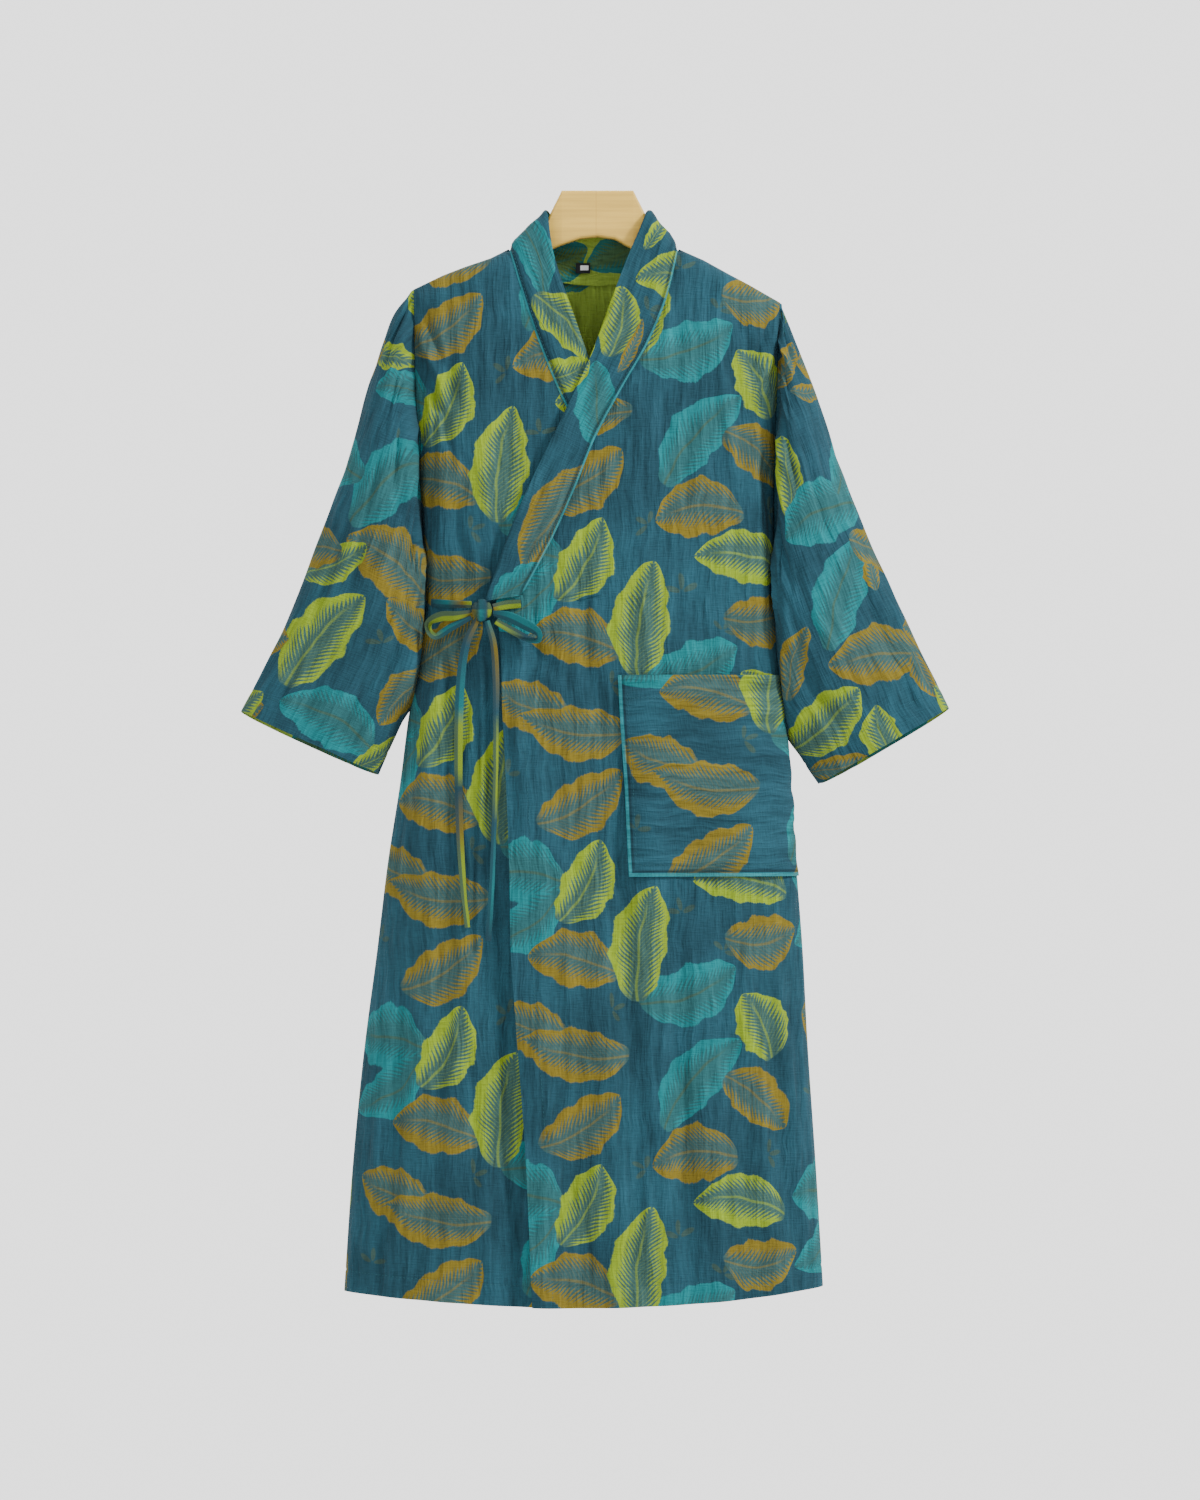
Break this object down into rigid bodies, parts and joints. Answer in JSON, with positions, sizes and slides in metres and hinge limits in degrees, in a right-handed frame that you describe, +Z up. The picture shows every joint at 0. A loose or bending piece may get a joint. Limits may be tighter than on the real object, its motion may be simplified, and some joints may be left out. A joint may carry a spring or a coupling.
{
  "type": "kimono robe on a wooden hanger",
  "caption": "Long wrap robe of crinkled leaf-patterned gauze with wide sleeves, a patch pocket and a side tie in a bow, hanging from a wooden hanger.",
  "frame": {"origin": "the middle of the hanger head's flat top, where the robe and its hanger are held", "axes": "+Z up, the front of the robe faces -Y, the wearer's left is at +X"},
  "size_m": [0.742, 0.1372, 1.1686],
  "materials": {
    "gauze": "crinkled jacquard double gauze, teal ground with lime, mustard and turquoise leaves, matt",
    "tie": "the same gauze cut into narrow ties, matt",
    "label": "smooth woven label with a bare white patch",
    "wood": "pale planed wood with a thin satin varnish"
  },
  "bodies": {
    "root": {"hanger": "wood", "back_panel": "gauze", "front_over": "gauze", "front_under": "gauze", "sleeve_left": "gauze", "sleeve_right": "gauze", "neckband_over": "gauze", "neckband_under": "gauze", "pocket": "gauze", "size_label": "label", "tie_knot": "tie", "tie_lead_over": "tie", "tie_lead_under": "tie", "tie_loop_left": "tie", "tie_loop_right": "tie", "tie_tail_left": "tie", "tie_tail_right": "tie"}
  },
  "joints": []
}
